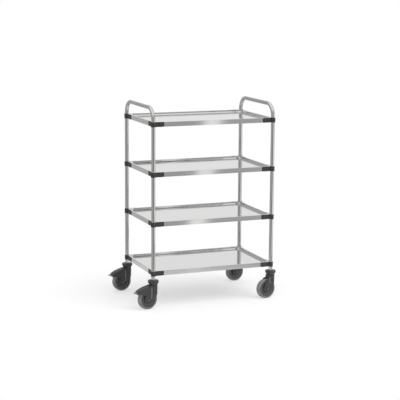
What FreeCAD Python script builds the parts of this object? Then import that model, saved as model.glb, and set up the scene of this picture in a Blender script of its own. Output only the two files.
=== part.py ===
"""Four-shelf utility trolley of stainless tube and sheet on four swivel castors.

Lengths are millimetres. The trolley stands on z = 0 and its origin is under the middle of its outline;
X runs along the long sides, from the braked castors on the left to the plain ones on the right, and Y
runs from the front to the rear.
"""
import FreeCAD, Part
import Sketcher
import math
import os
from typing import NamedTuple

SIZES = {
    # end frames: one bent tube each, two posts and the push handle
    "post_span_long": 800.0,
    "post_span_short": 508.0,
    "tube_dia": 25.0,
    "tube_wall": 1.25,
    "handle_rise": 98.0,
    "handle_bend": 80.0,
    # shelf trays: one folded sheet each, with a deep-drawn pan
    "first_tray_rise": 22.7,
    "shelf_pitch": 310.0,
    "rim_height": 30.0,
    "sheet_gauge": 1.0,
    "ledge_width": 10.0,
    "hem_width": 9.0,
    "pan_depth": 14.0,
    "pan_corner": 30.0,
    "draw_radius": 5.0,
    "rim_edge_round": 1.6,
    # corner connectors
    "sleeve_wall": 3.0,
    "long_arm": 70.0,
    "short_arm": 86.0,
    "arm_plate": 2.0,
    "arm_end_round": 5.0,
    "sleeve_blend": 5.0,
    "tongue_setback": 8.0,
    "sleeve_fit": 0.05,
    "sheet_fit": 0.1,
    "notch_gap": 0.3,
    # tray screws
    "screw_dia": 3.2,
    "screw_length": 12.0,
    "screw_head_dia": 7.0,
    "screw_head_height": 2.0,
    "screw_from_post": 48.0,
    "screw_hole_gap": 0.2,
    # castor wheels
    "wheel_dia": 125.0,
    "tyre_width": 32.0,
    "tyre_depth": 12.0,
    "tyre_shoulder": 7.0,
    "hub_dia": 40.0,
    "hub_length": 34.0,
    "web_thickness": 26.0,
    "web_step_dia": 58.0,
    "web_step": 1.5,
    "rim_thickness": 4.5,
    "rim_width": 30.0,
    "rim_slope": 2.0,
    "wheel_bearing_dia": 28.0,
    "wheel_bearing_width": 8.0,
    # axle
    "axle_dia": 12.0,
    "axle_end_dia": 8.0,
    "axle_head_size": 15.0,
    "axle_head_height": 5.0,
    "axle_nut_height": 6.0,
    "shaft_fit": 0.05,
    "seat_gap": 0.3,
    # fork and swivel head
    "plain_trail_length": 35.0,
    "braked_trail_length": 42.0,
    "slot_side_gap": 2.5,
    "slot_tread_gap": 5.0,
    "cheek_thickness": 5.5,
    "panel_step": 1.5,
    "panel_edge_round": 3.0,
    "cover_edge_round": 3.5,
    "crown_height": 27.0,
    "neck_dia": 53.0,
    "neck_height": 39.0,
    "neck_step": 1.0,
    "neck_groove": 1.5,
    "neck_groove_height": 3.0,
    "cap_dia": 68.0,
    "cap_height": 22.0,
    "cap_band_height": 8.0,
    "cap_shoulder": 4.0,
    "cap_foot_dia": 57.0,
    "cap_bore_gap": 0.5,
    "swivel_bearing_dia": 32.0,
    "swivel_bearing_width": 10.0,
    "swivel_bearing_spread": 3.0,
    "pin_dia": 12.0,
    "pin_head_dia": 18.0,
    "pin_head_height": 6.0,
    "pin_head_bore_gap": 1.0,
    "stem_flange_height": 2.0,
    "stem_plug_length": 40.0,
    "stem_plug_fit": 0.15,
    # side outline of the forks: steps in from the neck, drops under its top, rises over the axle
    "plain_lobe_radius": 26.0,
    "braked_lobe_radius": 30.0,
    "knee_drop": 53.0,
    "knee_radius": 42.0,
    "shin_step": 13.5,
    "shin_rise": 20.5,
    "plain_crease_step": 4.5,
    "plain_crease_drop": 20.0,
    "braked_crease_step": 6.5,
    "braked_crease_drop": 45.0,
    "spine_dia": 6.0,
    "spine_proud": 1.5,
    "spine_end_round": 1.4,
    "spine_top_drop": 3.0,
    "plain_spine_step": 8.0,
    "plain_spine_foot": 32.0,
    "braked_spine_step": 3.5,
    "braked_spine_foot": 4.0,
    "shoulder_step": 13.0,
    "shoulder_radius": 24.0,
    "shoulder_drop": 25.0,
    # hood over the braked wheels, from the pedal's pin
    "hood_overhang": 18.0,
    "hood_radius": 200.0,
    "hood_end_rise": 5.0,
    "hood_lip_drop": 10.0,
    "hood_cut_step": 10.0,
    "hood_cut_drop": 12.0,
    "hood_foot_rise": 17.5,
    "hood_wall": 3.0,
    "bay_start": 20.0,
    # brake pedal, from its pin, which stands clear of the tread
    "pivot_clearance": 10.75,
    "pivot_dia": 6.0,
    "pedal_width": 32.0,
    "pedal_root": 7.0,
    "pedal_neck": 16.0,
    "pedal_neck_rise": 0.6,
    "pedal_reach": 38.0,
    "pedal_tip_bevel": 2.0,
    "pedal_tip_drop": 1.0,
    "pedal_tip_thickness": 2.6,
    "pedal_belly": 25.0,
    "pedal_belly_drop": 7.5,
    "pedal_heel": 12.0,
    "pedal_heel_drop": 9.0,
    "pedal_edge_round": 1.0,
    "grip_pitch": 5.0,
    "grip_dia": 2.4,
    "shoe_gap": 3.6,
    "shoe_heel_drop": 17.0,
    "overrun": 2.0,
}
MIDDLE = ("middle_x", "middle_y")
PLAIN_LOBE_ANGLES = (-35.0, 150.0)
BRAKED_LOBE_ANGLES = (-42.0, 122.0)
LOBE_BACK_ANGLE = -150.0
LOBE_PANEL_ANGLE = 165.0
PIVOT_ANGLE = 137.5
SHOE_ANGLES = (152.0, 147.0)
PEDAL_ROOT_ANGLE = -50.0
REST_TURN = 8.0
GRIP_GROOVES = 3
HEX_SIDES = 6
FULL_TURN = 360
QUARTER_TURN = 90

LEVELS = {"bottom": 0, "lower": 1, "upper": 2, "top": 3}
CORNERS = {"front_left": (-1, -1), "rear_left": (-1, 1), "front_right": (1, -1), "rear_right": (1, 1)}

X_AXIS = FreeCAD.Vector(1, 0, 0)
Y_AXIS = FreeCAD.Vector(0, 1, 0)
Z_AXIS = FreeCAD.Vector(0, 0, 1)
ALONG_AXLE = FreeCAD.Rotation(Z_AXIS, Y_AXIS)


def polar(x, z, radius, angle):
    """Formulas of the spot at an angle about x, z."""
    return f"({x}) + ({radius}) * cos({angle}deg)", f"({z}) + ({radius}) * sin({angle}deg)"


class Castor(NamedTuple):
    """Formulas and angles in which the braked and the plain castors differ."""

    name: str
    trail: str
    lobe: str
    lobe_angles: tuple
    crease: tuple
    spine: tuple


WHEEL_MIDDLE = "wheel_dia / 2"
NECK_TOP = "(wheel_dia + slot_tread_gap + crown_height)"
NECK_FOOT = f"({NECK_TOP} - neck_height)"
GROOVE_FOOT = f"({NECK_TOP} - 2 * neck_groove_height)"
LEG_TOP = f"({GROOVE_FOOT} - neck_groove)"
BEARING_FLOOR = f"({NECK_TOP} - 2 * swivel_bearing_width - swivel_bearing_spread)"
CAP_TOP = f"({NECK_TOP} + cap_height)"
POST_FOOT = f"({CAP_TOP} + seat_gap + stem_flange_height)"
HANDLE_AXIS = (f"({POST_FOOT} + first_tray_rise + rim_height / 2 + {len(LEVELS) - 1} * shelf_pitch"
               " + handle_rise)")
TONGUE_MIDDLE = "(sheet_gauge + hem_width) / 2"
SLOT_WIDTH = "(tyre_width + 2 * slot_side_gap)"
FORK_WIDTH = f"({SLOT_WIDTH} + 2 * cheek_thickness)"
COVER_WIDTH = f"({FORK_WIDTH} - 2 * panel_step)"
PLAIN = Castor("plain", "plain_trail_length", "plain_lobe_radius", PLAIN_LOBE_ANGLES,
               ("-(neck_dia / 2 - plain_crease_step)", f"{NECK_TOP} - plain_crease_drop"),
               ("-(neck_dia / 2 - plain_spine_step)", f"({WHEEL_MIDDLE} + plain_spine_foot)"))
BRAKED = Castor("braked", "braked_trail_length", "braked_lobe_radius", BRAKED_LOBE_ANGLES,
                ("-(neck_dia / 2 + braked_crease_step)", f"{NECK_TOP} - braked_crease_drop"),
                ("-(neck_dia / 2 - braked_spine_step)", f"({WHEEL_MIDDLE} + braked_spine_foot)"))
CASTORS = {"front_left": BRAKED, "rear_left": BRAKED, "front_right": PLAIN, "rear_right": PLAIN}
PIVOT_X, PIVOT_Z = (f"({way})" for way in polar("-braked_trail_length", WHEEL_MIDDLE,
                                                "wheel_dia / 2 + pivot_clearance", PIVOT_ANGLE))
HOOD_END = f"({PIVOT_X} - hood_overhang)"

doc = FreeCAD.newDocument("utility_trolley")
sheet = doc.addObject("Spreadsheet::Sheet", "Sizes")
for row, (alias, size) in enumerate(SIZES.items(), start=1):
    sheet.set(f"A{row}", alias.replace("_", " "))
    sheet.set(f"B{row}", str(size))
    sheet.setAlias(f"B{row}", alias)
for row, alias in enumerate(MIDDLE, start=len(SIZES) + 1):
    sheet.set(f"B{row}", "0")
    sheet.setAlias(f"B{row}", alias)
doc.recompute()

parts = []


def cell(text):
    """Write every size name in a formula as a reference to the sheet."""
    words = []
    word = ""
    for letter in text + " ":
        if letter.isalnum() or letter == "_":
            word += letter
            continue
        words.append(f"Sizes.{word}" if word in SIZES or word in MIDDLE else word)
        words.append(letter)
        word = ""
    return "".join(words).strip()


def amount(text):
    """The present value of a formula of named sizes."""
    value = sheet.evalExpression(cell(text))
    return float(getattr(value, "Value", value))


def bind(item, **formulas):
    """Tie an object's properties to formulas of named sizes."""
    for name, text in formulas.items():
        item.setExpression(name.replace("__", "."), cell(text))
    return item


def place(item, x="0", y="0", z="0"):
    """Tie an object's position to formulas of named sizes."""
    return bind(item, Placement__Base__x=x, Placement__Base__y=y, Placement__Base__z=z)


def settle(item, x="0", y="0", z="0"):
    """Tie a finished piece's position, counted from the middle of the trolley's outline."""
    return place(item, f"{x} - middle_x", f"{y} - middle_y", z)


def box(x, y, z, length, width, height):
    """A block with its lowest corner at x, y, z."""
    block = bind(doc.addObject("Part::Box", "block"), Length=length, Width=width, Height=height)
    return place(block, x, y, z)


def rod(radius, height, x="0", y="0", z="0", axis=Z_AXIS):
    """A cylinder that starts at x, y, z and runs along an axis."""
    item = doc.addObject("Part::Cylinder", "rod")
    item.Placement.Rotation = FreeCAD.Rotation(Z_AXIS, axis)
    return place(bind(item, Radius=radius, Height=height), x, y, z)


def fuse(*items):
    """All the items as one solid."""
    joined = doc.addObject("Part::MultiFuse", "joined")
    joined.Shapes = list(items)
    joined.Refine = True
    return joined


def cut(base, *tools):
    """The base without the tools."""
    remains = doc.addObject("Part::Cut", "remains")
    remains.Base = base
    remains.Tool = tools[0] if len(tools) == 1 else fuse(*tools)
    remains.Refine = True
    return remains


def common(first, second):
    """What two items share."""
    shared = doc.addObject("Part::Common", "shared")
    shared.Base = first
    shared.Tool = second
    shared.Refine = True
    return shared


def round_edges(base, radius, wanted):
    """Round the edges of the base for which wanted(edge) is true."""
    doc.recompute()
    size = amount(radius)
    numbers = [i for i, edge in enumerate(base.Shape.Edges, start=1) if wanted(edge)]
    rounded = doc.addObject("Part::Fillet", "rounded")
    rounded.Base = base
    rounded.Edges = [(number, size, size) for number in numbers]
    return rounded


def group(*items):
    """Separate solids that share one node."""
    members = doc.addObject("Part::Compound", "members")
    members.Links = list(items)
    return members


def part(item, name):
    """Make an item a piece of the trolley."""
    item.Label = name
    parts.append(item)
    return item


class Outline:
    """A sketch outline, closed or open, whose corners follow formulas of named sizes."""

    def __init__(self, sketch, x, y):
        self.sketch = sketch
        self.corners = [(x, y)]
        self.edges = []

    def line(self, x, y):
        """Run straight to a corner."""
        self.edges.append(None)
        self.corners.append((x, y))
        return self

    def arc(self, x, y, radius, left=False):
        """Run along an arc to a corner, with its centre to the left or the right of the way."""
        self.edges.append((radius, left))
        self.corners.append((x, y))
        return self

    def close(self, radius=None, left=False):
        """Run back to the first corner and finish the sketch."""
        self.edges.append(None if radius is None else (radius, left))
        return self.finish()

    def finish(self):
        """Draw the edges and tie every corner to the sheet; without close, the outline stays open."""
        spots = [FreeCAD.Vector(amount(x), amount(y), 0) for x, y in self.corners]
        ends = []
        for index, edge in enumerate(self.edges):
            start = spots[index]
            end = spots[(index + 1) % len(spots)]
            shape = Part.LineSegment(start, end) if edge is None else self.bend(start, end, *edge)
            number = self.sketch.addGeometry(shape, False)
            ends.append((number, 1, 2) if edge is None or edge[1] else (number, 2, 1))
            self.tie(number, ends[-1][1], *self.corners[index])
            if edge is not None:
                self.measure(Sketcher.Constraint("Radius", number, amount(edge[0])), edge[0])
        closed = len(self.edges) == len(self.corners)
        for index, (number, first, last) in enumerate(ends):
            if closed or index + 1 < len(ends):
                after = ends[(index + 1) % len(ends)]
                self.sketch.addConstraint(Sketcher.Constraint("Coincident", number, last, after[0], after[1]))
            else:
                self.tie(number, last, *self.corners[-1])
        return self.sketch

    def bend(self, start, end, radius, left):
        """The arc between two spots."""
        radius = amount(radius)
        chord = end.sub(start)
        half = chord.Length / 2
        side = FreeCAD.Vector(-chord.y, chord.x, 0).normalize()
        if not left:
            side = side.negative()
        centre = start.add(end).multiply(0.5).add(side.multiply(math.sqrt(radius * radius - half * half)))
        first, last = (start, end) if left else (end, start)
        angles = [math.atan2(spot.y - centre.y, spot.x - centre.x) for spot in (first, last)]
        return Part.ArcOfCircle(Part.Circle(centre, Z_AXIS, radius), *angles)

    def tie(self, number, end, x, y):
        """Hold one end of an edge at its corner."""
        for kind, text, axis in (("DistanceX", x, -2), ("DistanceY", y, -1)):
            if text == "0":
                self.sketch.addConstraint(Sketcher.Constraint("PointOnObject", number, end, axis))
            else:
                self.measure(Sketcher.Constraint(kind, number, end, amount(text)), text)

    def measure(self, constraint, text):
        """Add a dimension that follows a formula."""
        index = self.sketch.addConstraint(constraint)
        self.sketch.setExpression(f"Constraints[{index}]", cell(text))


def upright_sketch(name):
    """A free sketch whose own x and y run along X and Z."""
    sketch = doc.addObject("Sketcher::SketchObject", name)
    sketch.Placement = FreeCAD.Placement(FreeCAD.Vector(), FreeCAD.Rotation(X_AXIS, QUARTER_TURN))
    return sketch


def slab(sketch, width):
    """An upright sketch thickened to both sides."""
    item = doc.addObject("Part::Extrusion", "slab")
    item.Base = sketch
    item.DirMode = "Normal"
    item.Symmetric = True
    item.Solid = True
    return bind(item, LengthFwd=width)


def body_sketch(body, role, name):
    """A sketch on one of a body's own planes."""
    sketch = body.newObject("Sketcher::SketchObject", name)
    plane = next(item for item in body.Origin.OriginFeatures if item.Role == role)
    sketch.AttachmentSupport = [(plane, "")]
    sketch.MapMode = "FlatFace"
    return sketch


def turned(name, draw):
    """A body turned about its own Z from the half section that draw makes."""
    body = doc.addObject("PartDesign::Body", name)
    sketch = body_sketch(body, "XZ_Plane", f"{name}_section")
    draw(sketch)
    turning = body.newObject("PartDesign::Revolution", f"{name}_turning")
    turning.Profile = sketch
    turning.ReferenceAxis = (sketch, ["V_Axis"])
    turning.Angle = FULL_TURN
    sketch.Visibility = False
    return body


def stack(start, stop, inner, outer):
    """A plain ring, as the half section of a turned body."""
    return lambda sketch: (Outline(sketch, inner, start).line(outer, start).line(outer, stop)
                           .line(inner, stop).close())


def circle(sketch, y, radius):
    """A circle on a sketch's own y axis."""
    number = sketch.addGeometry(Part.Circle(FreeCAD.Vector(0, amount(y), 0), Z_AXIS, amount(radius)), False)
    writer = Outline(sketch, "0", y)
    writer.tie(number, 3, "0", y)
    writer.measure(Sketcher.Constraint("Radius", number, amount(radius)), radius)


def end_frame(name, side):
    """One tube bent twice: two posts and the handle between them."""
    body = doc.addObject("PartDesign::Body", name)
    half = "post_span_short / 2"
    path = body_sketch(body, "YZ_Plane", f"{name}_path")
    outline = Outline(path, f"-{half}", POST_FOOT).line(f"-{half}", f"{HANDLE_AXIS} - handle_bend")
    outline.arc(f"-{half} + handle_bend", HANDLE_AXIS, "handle_bend")
    outline.line(f"{half} - handle_bend", HANDLE_AXIS)
    outline.arc(half, f"{HANDLE_AXIS} - handle_bend", "handle_bend")
    outline.line(half, POST_FOOT).finish()
    ring = body_sketch(body, "XY_Plane", f"{name}_ring")
    ring.setExpression("AttachmentOffset.Base.z", cell(POST_FOOT))
    circle(ring, f"-{half}", "tube_dia / 2")
    circle(ring, f"-{half}", "tube_dia / 2 - tube_wall")
    pipe = body.newObject("PartDesign::AdditivePipe", f"{name}_pipe")
    pipe.Profile = ring
    pipe.Spine = path
    settle(body, x=f"{side} * post_span_long / 2")
    return part(body, name)


def shelf_tray(name, level):
    """A folded and drawn sheet: outer wall, ledge, pan wall, deck and a hem under the outer wall."""
    long_half = "post_span_long / 2"
    short_half = "post_span_short / 2"

    def frame(inset, bottom, top):
        """A block inset from the tray's outer walls, between two heights over its lower edge."""
        return box(f"-({long_half} - ({inset}))", f"-({short_half} - ({inset}))", bottom,
                   f"post_span_long - 2 * ({inset})", f"post_span_short - 2 * ({inset})",
                   f"{top} - ({bottom})")

    def upright(edge):
        """True for an edge along Z."""
        return abs(edge.Vertexes[0].Z - edge.Vertexes[-1].Z) > edge.Length / 2

    def along_top(edge):
        """True for an edge on the upper face."""
        return all(vertex.Z > amount("rim_height - sheet_gauge / 2") for vertex in edge.Vertexes)

    def lip(edge):
        """True for an edge round the pan's mouth."""
        middle = edge.CenterOfMass
        return along_top(edge) and (abs(middle.x) < amount(f"{long_half} - ledge_width / 2")
                                    and abs(middle.y) < amount(f"{short_half} - ledge_width / 2"))

    def drawn(inset, floor, top, corner, bend):
        """A block with round corners and a round foot, as a drawing tool leaves it."""
        shaft = round_edges(frame(inset, floor, top), corner, upright)
        foot = amount(f"{floor} + sheet_gauge / 2")
        return round_edges(shaft, bend, lambda edge: all(vertex.Z < foot for vertex in edge.Vertexes))

    deck_top = "rim_height - pan_depth"
    blank = round_edges(frame("0", "0", "rim_height"), "rim_edge_round", along_top)
    pan = drawn("ledge_width", deck_top, "rim_height + overrun", "pan_corner", "draw_radius")
    skin = drawn("ledge_width - sheet_gauge", f"{deck_top} - sheet_gauge", "rim_height",
                 "pan_corner + sheet_gauge", "draw_radius + sheet_gauge")
    bowl = round_edges(cut(blank, pan), "rim_edge_round", lip)
    hollow = cut(frame("sheet_gauge", "sheet_gauge", "rim_height - sheet_gauge"), skin)
    mouth = frame("hem_width", "-overrun", "sheet_gauge + overrun")
    notches = []
    holes = []
    for side_x, side_y in CORNERS.values():
        notches.append(rod("tube_dia / 2 + sleeve_wall + notch_gap", "rim_height + 2 * overrun",
                           f"{side_x} * {long_half}", f"{side_y} * {short_half}", "-overrun"))
        holes.append(rod("screw_dia / 2 + screw_hole_gap", "sheet_gauge + 2 * overrun",
                         f"{side_x} * ({long_half} - screw_from_post)",
                         f"{side_y} * ({short_half} - {TONGUE_MIDDLE})", "-overrun"))
    tray = cut(bowl, hollow, mouth, *notches, *holes)
    settle(tray, z=shelf_bottom(level))
    return part(tray, name)


def corner_connector(name, level, side_x, side_y):
    """A moulded sleeve round the post, with a plate and a tongue along each wall of the tray."""
    def far_end(edge):
        """True for an edge across the end of an arm."""
        middle = edge.CenterOfMass
        distance = max(abs(middle.x), abs(middle.y))
        return edge.Length < amount("rim_height / 2") and distance > amount("long_arm / 2")

    def beside_sleeve(edge):
        """True for the upright edge where a plate's outer face meets the sleeve."""
        middle = edge.CenterOfMass
        inward = (-side_x * middle.x, -side_y * middle.y)
        return (edge.Length > amount("rim_height / 2") and max(inward) < amount("long_arm / 2")
                and abs(min(inward) + amount("arm_plate + sheet_fit")) < amount("sheet_fit"))

    pieces = [rod("tube_dia / 2 + sleeve_wall", "rim_height")]
    deep = "ledge_width - 2 * sheet_gauge - 2 * sheet_fit"
    tall = "rim_height - 2 * sheet_gauge - 2 * sheet_fit"
    inside = "sheet_gauge + sheet_fit"
    for along_x, arm in ((True, "long_arm"), (False, "short_arm")):
        for offset, thick, bottom, height, reach in (
                ("-arm_plate - sheet_fit", "arm_plate", "0", "rim_height", arm),
                (inside, deep, inside, tall, f"{arm} - tongue_setback")):
            if along_x:
                low_x = "0" if side_x < 0 else f"-({reach})"
                low_y = offset if side_y < 0 else f"-({offset}) - ({thick})"
                bar = box(low_x, low_y, bottom, reach, thick, height)
            else:
                low_y = "0" if side_y < 0 else f"-({reach})"
                low_x = offset if side_x < 0 else f"-({offset}) - ({thick})"
                bar = box(low_x, low_y, bottom, thick, reach, height)
            pieces.append(round_edges(bar, "arm_end_round", far_end))
    bore = rod("tube_dia / 2 + sleeve_fit", "rim_height + 2 * overrun", z="-overrun")
    pilot = rod("screw_dia / 2 + shaft_fit", "screw_length + overrun", f"-{side_x} * screw_from_post",
                f"-{side_y} * {TONGUE_MIDDLE}", "0")
    connector = cut(round_edges(fuse(*pieces), "sleeve_blend", beside_sleeve), bore, pilot)
    settle(connector, f"{side_x} * post_span_long / 2", f"{side_y} * post_span_short / 2",
           shelf_bottom(level))
    return part(connector, name)


def tray_screws(name):
    """Pan-head screws that hold each connector's tongue in the tray's hem."""
    screws = []
    for level in LEVELS.values():
        for side_x, side_y in CORNERS.values():
            x = f"{side_x} * (post_span_long / 2 - screw_from_post)"
            y = f"{side_y} * (post_span_short / 2 - {TONGUE_MIDDLE})"
            under = shelf_bottom(level)
            shank = rod("screw_dia / 2", "screw_length", x, y, under)
            head = rod("screw_head_dia / 2", "screw_head_height", x, y, f"{under} - screw_head_height")
            screws.append(fuse(shank, head))
    return part(settle(group(*screws)), name)


def shelf_bottom(level):
    """Formula of a tray's lower edge over the floor."""
    return f"{POST_FOOT} + first_tray_rise + {level} * shelf_pitch"


def stand(item, corner, x="0", z="0", lie=False):
    """Put a castor's piece under its post, turned with the castor and, if asked, laid along the axle."""
    side_x, side_y = CORNERS[corner]
    turn = FreeCAD.Rotation(Z_AXIS, REST_TURN)
    item.Placement = FreeCAD.Placement(FreeCAD.Vector(), turn.multiply(ALONG_AXLE) if lie else turn)
    return settle(item, f"{side_x} * post_span_long / 2 + ({x}) * cos({REST_TURN}deg)",
                  f"{side_y} * post_span_short / 2 + ({x}) * sin({REST_TURN}deg)", z)


def castor_stem(name, corner):
    """King pin with its head under the bearings, a flange under the post and a plug inside it."""
    def draw(sketch):
        outline = Outline(sketch, "0", f"{BEARING_FLOOR} - seat_gap - pin_head_height")
        outline.line("pin_head_dia / 2", f"{BEARING_FLOOR} - seat_gap - pin_head_height")
        outline.line("pin_head_dia / 2", f"{BEARING_FLOOR} - seat_gap")
        outline.line("pin_dia / 2", f"{BEARING_FLOOR} - seat_gap")
        outline.line("pin_dia / 2", f"{CAP_TOP} + seat_gap")
        outline.line("tube_dia / 2", f"{CAP_TOP} + seat_gap")
        outline.line("tube_dia / 2", POST_FOOT)
        outline.line("tube_dia / 2 - tube_wall - stem_plug_fit", POST_FOOT)
        outline.line("tube_dia / 2 - tube_wall - stem_plug_fit", f"{POST_FOOT} + stem_plug_length")
        outline.line("0", f"{POST_FOOT} + stem_plug_length").close()
    return part(stand(turned(name, draw), corner), name)


def swivel_cap(name, corner):
    """Moulded cap that turns with the fork and hides the bearings."""
    def draw(sketch):
        outline = Outline(sketch, "pin_dia / 2 + cap_bore_gap", NECK_TOP)
        outline.line("cap_foot_dia / 2", NECK_TOP)
        outline.line("cap_dia / 2", f"{CAP_TOP} - cap_shoulder - cap_band_height")
        outline.line("cap_dia / 2", f"{CAP_TOP} - cap_shoulder")
        outline.arc("cap_dia / 2 - cap_shoulder", CAP_TOP, "cap_shoulder", left=True)
        outline.line("pin_dia / 2 + cap_bore_gap", CAP_TOP).close()
    return part(stand(turned(name, draw), corner), name)


def bearing_pair(name, bore, outer, width, inner_face):
    """Two plain rings, spaced evenly about the middle of their pair."""
    radii = (f"{bore} / 2 + shaft_fit", f"{outer} / 2")
    rings = [turned(f"{name}_{number}", stack(start, f"{start} + {width}", *radii))
             for number, start in enumerate((inner_face, f"-({inner_face}) - {width}"))]
    return group(*rings)


def swivel_bearings(name, corner):
    """Two rings on the king pin, in the fork's neck."""
    rings = bearing_pair(name, "pin_dia", "swivel_bearing_dia", "swivel_bearing_width",
                         "swivel_bearing_spread / 2")
    middle = f"{BEARING_FLOOR} + swivel_bearing_width + swivel_bearing_spread / 2"
    return part(stand(rings, corner, z=middle), name)


def cheek(sketch, kind):
    """The front and the foot of a fork leg's outline, as far as the back of the lobe round the axle."""
    front, rear = kind.lobe_angles
    outline = Outline(sketch, "neck_dia / 2", LEG_TOP).line("neck_dia / 2", f"{NECK_TOP} - knee_drop")
    outline.arc("neck_dia / 2 - shin_step", f"{WHEEL_MIDDLE} + shin_rise", "knee_radius")
    outline.line(*polar(f"-{kind.trail}", WHEEL_MIDDLE, kind.lobe, front))
    outline.arc(*polar(f"-{kind.trail}", WHEEL_MIDDLE, kind.lobe, LOBE_BACK_ANGLE), kind.lobe)
    return outline.arc(*polar(f"-{kind.trail}", WHEEL_MIDDLE, kind.lobe, rear), kind.lobe)


def spine(kind, side):
    """Rounded rib down the outer face of a cheek, in line with the neck."""
    x, foot = kind.spine
    bar = rod("spine_dia / 2", f"{LEG_TOP} - spine_top_drop - {foot}", x,
              f"{side} * ({FORK_WIDTH} / 2 + spine_proud - spine_dia / 2)", foot)
    return round_edges(bar, "spine_end_round", lambda edge: edge.isClosed())


def hood_roof(sketch, drop):
    """Start an outline with the hood's roof line, lowered by a wall."""
    outline = Outline(sketch, "0", f"{LEG_TOP} - {drop}")
    return outline.arc(HOOD_END, f"{PIVOT_Z} + hood_end_rise - {drop}", "hood_radius", left=True)


def plain_cover():
    """Side outline of the shoulder behind a plain fork's leg."""
    outline = Outline(upright_sketch("plain_cover"), f"-{PLAIN.trail}", WHEEL_MIDDLE)
    outline.line(*polar(f"-{PLAIN.trail}", WHEEL_MIDDLE, PLAIN.lobe, LOBE_PANEL_ANGLE))
    outline.line(f"-({PLAIN.trail} + shoulder_step)", NECK_FOOT)
    outline.arc("-neck_dia / 2", f"{NECK_TOP} - shoulder_drop", "shoulder_radius")
    return outline.line("0", f"{NECK_TOP} - shoulder_drop").close()


def brake_hood():
    """Side outline of the hood over a braked wheel."""
    outline = hood_roof(upright_sketch("brake_hood"), "0")
    outline.line(HOOD_END, f"{PIVOT_Z} - hood_lip_drop")
    outline.line(f"{PIVOT_X} + hood_cut_step", f"{PIVOT_Z} - hood_cut_drop")
    outline.line(*polar(f"-{BRAKED.trail}", WHEEL_MIDDLE, BRAKED.lobe, BRAKED.lobe_angles[1]))
    foot = f"{WHEEL_MIDDLE} + hood_foot_rise"
    return outline.line("-neck_dia / 2", foot).line("0", foot).close()


def brake_bay():
    """The room for the pedal under the hood, open to the rear and down to the wheel."""
    roof = hood_roof(upright_sketch("brake_bay"), "hood_wall")
    roof.line(f"{HOOD_END} - overrun", f"{PIVOT_Z} + hood_end_rise - hood_wall")
    roof.line(f"{HOOD_END} - overrun", WHEEL_MIDDLE).line("0", WHEEL_MIDDLE)
    room = slab(roof.close(), SLOT_WIDTH)
    rear = box(f"{HOOD_END} - 2 * overrun", f"-{SLOT_WIDTH} / 2", "0",
               f"-{HOOD_END} - {BRAKED.trail} - bay_start + 2 * overrun", SLOT_WIDTH, NECK_TOP)
    return common(room, rear)


def castor_fork(name, corner):
    """Moulded fork: two cheeks, a bearing neck and, on a braked castor, the hood over the pedal."""
    kind = CASTORS[corner]
    low = f"{PIVOT_Z} - hood_lip_drop" if kind is BRAKED else f"{WHEEL_MIDDLE} + {kind.lobe}"

    def flank(edge):
        """True for an edge round a cheek's outer face, below the neck."""
        spots = [vertex.Point for vertex in edge.Vertexes]
        return len(spots) > 1 and abs(spots[0].y - spots[-1].y) < edge.Length / 2 and max(
            spot.z for spot in spots) < amount(NECK_TOP)

    def crest(edge):
        """True for such an edge along the top or the rear of the cover."""
        spot = edge.CenterOfMass
        return flank(edge) and spot.z > amount(low) and spot.x < amount("-neck_dia / 2")

    leg = cheek(upright_sketch(f"{kind.name}_leg"), kind)
    leg.line(*kind.crease).line(kind.crease[0], LEG_TOP)
    legs = round_edges(slab(leg.close(), FORK_WIDTH), "panel_edge_round", flank)
    outline = brake_hood() if kind is BRAKED else plain_cover()
    cover = round_edges(slab(outline, COVER_WIDTH), "cover_edge_round", crest)
    plan = fuse(box(f"-({kind.trail} + wheel_dia)", "-neck_dia / 2", "0",
                    f"{kind.trail} + wheel_dia", "neck_dia", NECK_TOP),
                rod("neck_dia / 2 - neck_step", NECK_TOP))

    def draw(sketch):
        outline = Outline(sketch, "0", NECK_FOOT).line("neck_dia / 2", NECK_FOOT)
        outline.line("neck_dia / 2", GROOVE_FOOT).line("neck_dia / 2 - neck_groove", GROOVE_FOOT)
        outline.line("neck_dia / 2 - neck_groove", f"{GROOVE_FOOT} + neck_groove_height")
        outline.line("neck_dia / 2", f"{GROOVE_FOOT} + neck_groove_height")
        outline.line("neck_dia / 2", NECK_TOP).line("0", NECK_TOP).close()

    spines = (spine(kind, side) for side in (-1, 1))
    solid = fuse(common(legs, plan), cover, turned(f"{name}_neck", draw), *spines)
    past = f"-({FORK_WIDTH} / 2 + overrun)"
    through = f"{FORK_WIDTH} + 2 * overrun"
    tools = [
        rod("wheel_dia / 2 + slot_tread_gap", SLOT_WIDTH, f"-{kind.trail}", f"-{SLOT_WIDTH} / 2",
            WHEEL_MIDDLE, Y_AXIS),
        rod("swivel_bearing_dia / 2 + shaft_fit", f"{NECK_TOP} - {BEARING_FLOOR} + overrun",
            z=BEARING_FLOOR),
        rod("pin_head_dia / 2 + pin_head_bore_gap", f"{BEARING_FLOOR} - {WHEEL_MIDDLE} + overrun",
            z=WHEEL_MIDDLE),
        rod("axle_end_dia / 2 + shaft_fit", through, f"-{kind.trail}", past, WHEEL_MIDDLE, Y_AXIS)]
    if kind is BRAKED:
        tools.append(brake_bay())
        tools.append(rod("pivot_dia / 2 + shaft_fit", through, PIVOT_X, past, PIVOT_Z, Y_AXIS))
    return part(stand(cut(solid, *tools), corner), name)


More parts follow.
